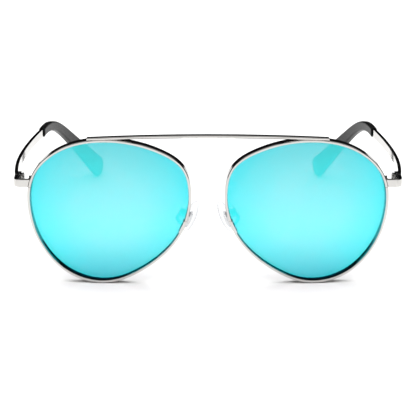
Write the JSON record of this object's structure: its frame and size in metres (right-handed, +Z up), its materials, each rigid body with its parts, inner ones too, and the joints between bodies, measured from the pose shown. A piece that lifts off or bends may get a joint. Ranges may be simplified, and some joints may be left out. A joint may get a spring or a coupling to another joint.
{
  "type": "aviator sunglasses",
  "caption": "Metal aviator sunglasses with mirrored lenses in grooved rims, one straight brow bar, temples that fold on screw hinges and rocking nose pads.",
  "frame": {"origin": "on the surface the glasses stand on, under the middle of their overall box", "axes": "+X to the wearer's left, +Y back along the temples, +Z up"},
  "size_m": [0.147, 0.1332, 0.0593],
  "materials": {
    "polished_metal": "polished silver plating",
    "satin_metal": "satin silver plating",
    "dark_metal": "dark plated",
    "screw": "polished, slotted head",
    "lens": "ice blue mirror coating on tinted plastic",
    "sock": "semi-gloss black",
    "silicone": "clear soft silicone"
  },
  "bodies": {
    "front": {"brow_bar": "polished_metal", "upper_rim_left": "polished_metal", "lower_rim_left": "polished_metal", "lens_left": "lens", "endpiece_left": "polished_metal", "rim_lock_upper_left": "polished_metal", "rim_lock_lower_left": "polished_metal", "rim_lock_screw_left": "screw", "hinge_front_leaf_left": "satin_metal", "hinge_screw_left": "screw", "pad_arm_left": "polished_metal", "pad_box_left": "dark_metal", "pad_screw_left": "screw", "upper_rim_right": "polished_metal", "lower_rim_right": "polished_metal", "lens_right": "lens", "endpiece_right": "polished_metal", "rim_lock_upper_right": "polished_metal", "rim_lock_lower_right": "polished_metal", "rim_lock_screw_right": "screw", "hinge_front_leaf_right": "satin_metal", "hinge_screw_right": "screw", "pad_arm_right": "polished_metal", "pad_box_right": "dark_metal", "pad_screw_right": "screw"},
    "temple_left": {"temple_arm_left": "polished_metal", "hinge_temple_leaf_left": "satin_metal", "ear_sock_left": "sock"},
    "temple_right": {"temple_arm_right": "polished_metal", "hinge_temple_leaf_right": "satin_metal", "ear_sock_right": "sock"},
    "nose_pad_left": {"nose_pad_left": "silicone", "pad_insert_left": "dark_metal"},
    "nose_pad_right": {"nose_pad_right": "silicone", "pad_insert_right": "dark_metal"}
  },
  "joints": [
    {"name": "temple_fold_left", "type": "hinge", "parent": "front", "child": "temple_left", "pos_m": [0.0697, -0.05686, 0.0395], "axis": [0, 0, 1], "range_deg": [0, 78]},
    {"name": "temple_fold_right", "type": "hinge", "parent": "front", "child": "temple_right", "pos_m": [-0.0697, -0.05686, 0.0395], "axis": [0, 0, -1], "range_deg": [0, 74]},
    {"name": "pad_rock_left", "type": "hinge", "parent": "front", "child": "nose_pad_left", "pos_m": [0.0088, -0.05846, 0.0262], "axis": [0.3422, 0.9272, 0.1524], "range_deg": [-8, 8]},
    {"name": "pad_rock_right", "type": "hinge", "parent": "front", "child": "nose_pad_right", "pos_m": [-0.0088, -0.05846, 0.0262], "axis": [-0.3422, 0.9272, 0.1524], "range_deg": [-8, 8]}
  ]
}
